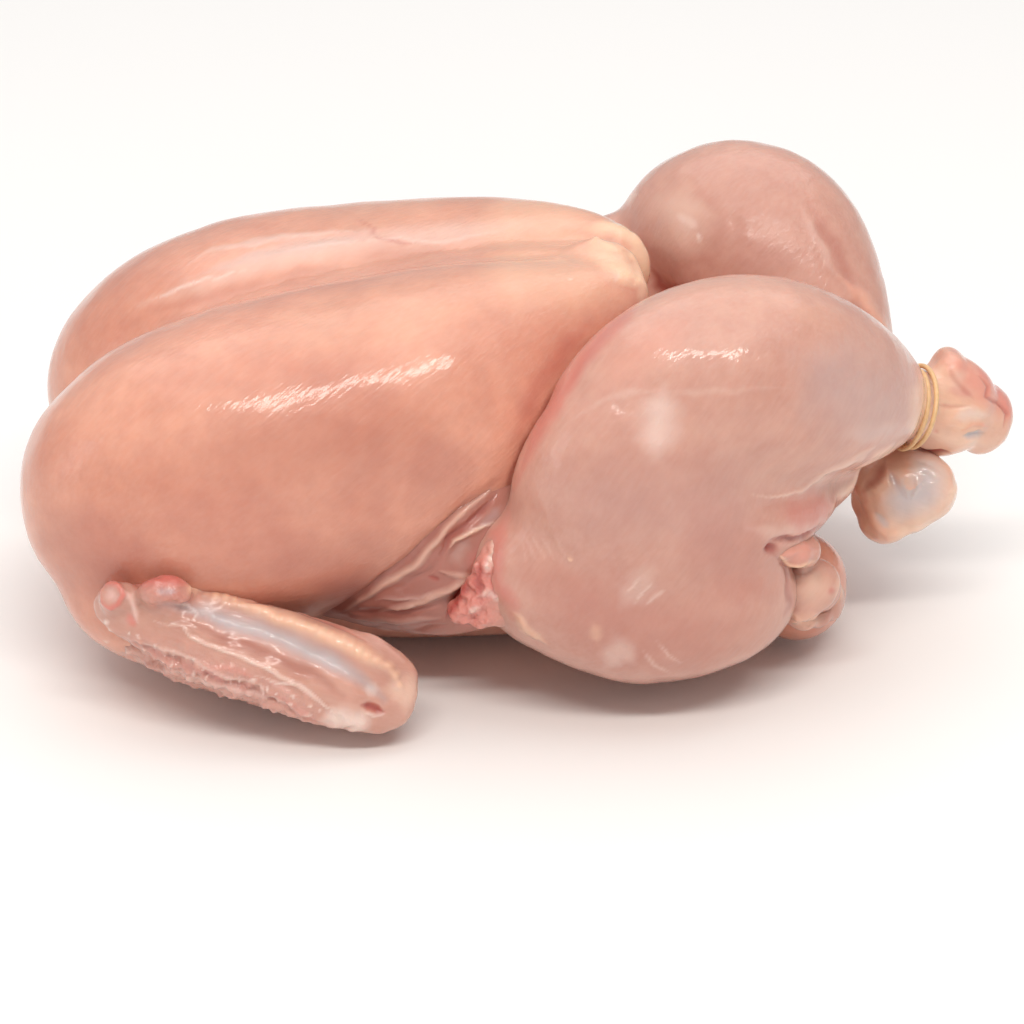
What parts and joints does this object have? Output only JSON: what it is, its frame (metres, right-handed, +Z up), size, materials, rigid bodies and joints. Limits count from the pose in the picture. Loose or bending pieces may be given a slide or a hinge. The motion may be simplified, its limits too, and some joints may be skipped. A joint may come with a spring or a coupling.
{
  "type": "skinless whole chicken",
  "caption": "Raw skinless whole chicken lying on its back, breast up, wings folded at its sides and its crossed hocks held by a rubber band.",
  "frame": {"origin": "on the ground under the middle of the bird's box, as it lies on its back", "axes": "+Z up; +X from the neck to the hocks; -Y is the bird's right side, the side nearest the viewer in the picture"},
  "size_m": [0.2388, 0.1556, 0.1043],
  "materials": {
    "meat": "wet raw poultry meat, pale peach breast and pinker legs, softly translucent, under a thin moist film",
    "band": "plain tan natural rubber, satin"
  },
  "bodies": {
    "root": {"chicken": "meat", "rubber_band": "band"}
  },
  "joints": []
}
